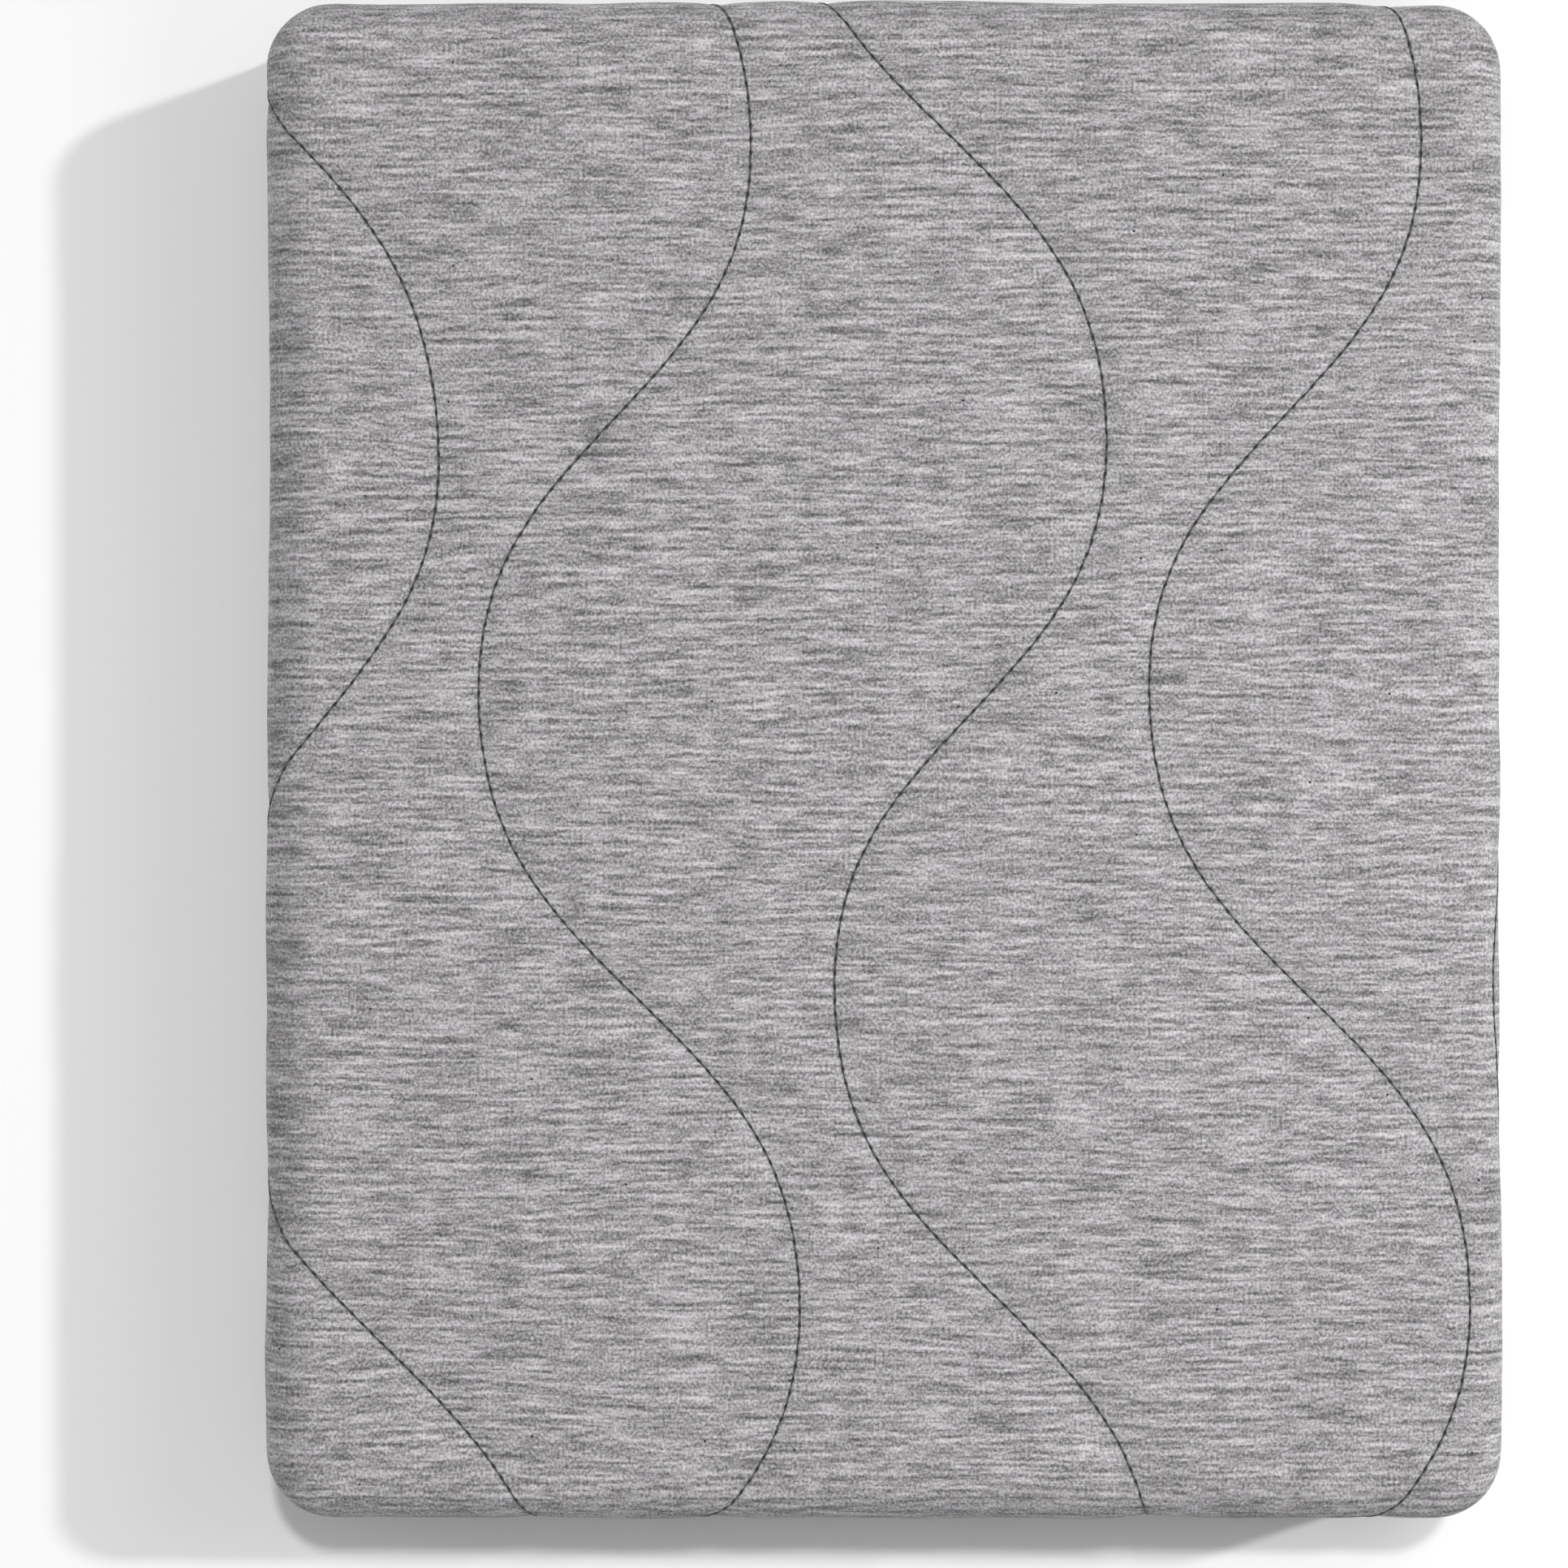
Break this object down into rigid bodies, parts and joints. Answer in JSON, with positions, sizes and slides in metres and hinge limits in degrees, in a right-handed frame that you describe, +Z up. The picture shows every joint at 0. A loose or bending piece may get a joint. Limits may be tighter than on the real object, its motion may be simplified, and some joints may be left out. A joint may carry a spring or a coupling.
{
  "type": "memory foam mattress",
  "caption": "Layered memory foam mattress in a removable quilted knit cover with wavy stitching, zipped to a plain underside panel.",
  "frame": {"origin": "middle of the underside, at floor level", "axes": "+X to the sleeper's right, +Y from foot to head, +Z up"},
  "size_m": [1.62, 1.988, 0.25],
  "materials": {
    "support_foam": "matte",
    "transition_foam": "matte",
    "memory_foam": "matte",
    "sock_knit": "matte",
    "panel_cloth": "matte",
    "binding_tape": "matte",
    "zipper_tape": "matte",
    "zipper_coil": "satin",
    "zipper_metal": "satin",
    "pull_metal": "satin",
    "label_satin": "satin",
    "heather_knit": "matte",
    "fibre_fill": "matte",
    "backing_cloth": "matte",
    "quilt_thread": "satin",
    "hem_knit": "matte"
  },
  "bodies": {
    "core": {"support_core": "support_foam", "transition_foam": "transition_foam", "memory_foam": "memory_foam", "fire_sock": "sock_knit", "base_panel": "panel_cloth", "base_binding": "binding_tape", "zip_tape_lower": "zipper_tape", "zip_coil_lower": "zipper_coil", "zip_stop_lower": "zipper_metal", "zip_end_tab": "zipper_tape", "care_label": "label_satin"},
    "cover": {"knit_cover": "heather_knit", "quilt_fill": "fibre_fill", "quilt_backing": "backing_cloth", "quilt_thread_1": "quilt_thread", "quilt_thread_2": "quilt_thread", "quilt_thread_3": "quilt_thread", "quilt_thread_4": "quilt_thread", "cover_hem": "hem_knit", "zip_tape_upper": "zipper_tape", "zip_coil_upper": "zipper_coil", "zip_stop_upper": "zipper_metal"},
    "slider": {"zip_slider": "zipper_metal"},
    "pull": {"zip_pull": "pull_metal"}
  },
  "joints": [
    {"name": "cover_lift", "type": "slide", "parent": "core", "child": "cover", "axis": [0, 0, 1], "range_m": [0, 0.3]},
    {"name": "slider_run", "type": "slide", "parent": "core", "child": "slider", "axis": [-1, 0, 0], "range_m": [0, 1.3]},
    {"name": "pull_swing", "type": "hinge", "parent": "slider", "child": "pull", "pos_m": [0.655, -0.9898, 0.0465], "axis": [1, 0, 0], "range_deg": [-100, 0]}
  ]
}
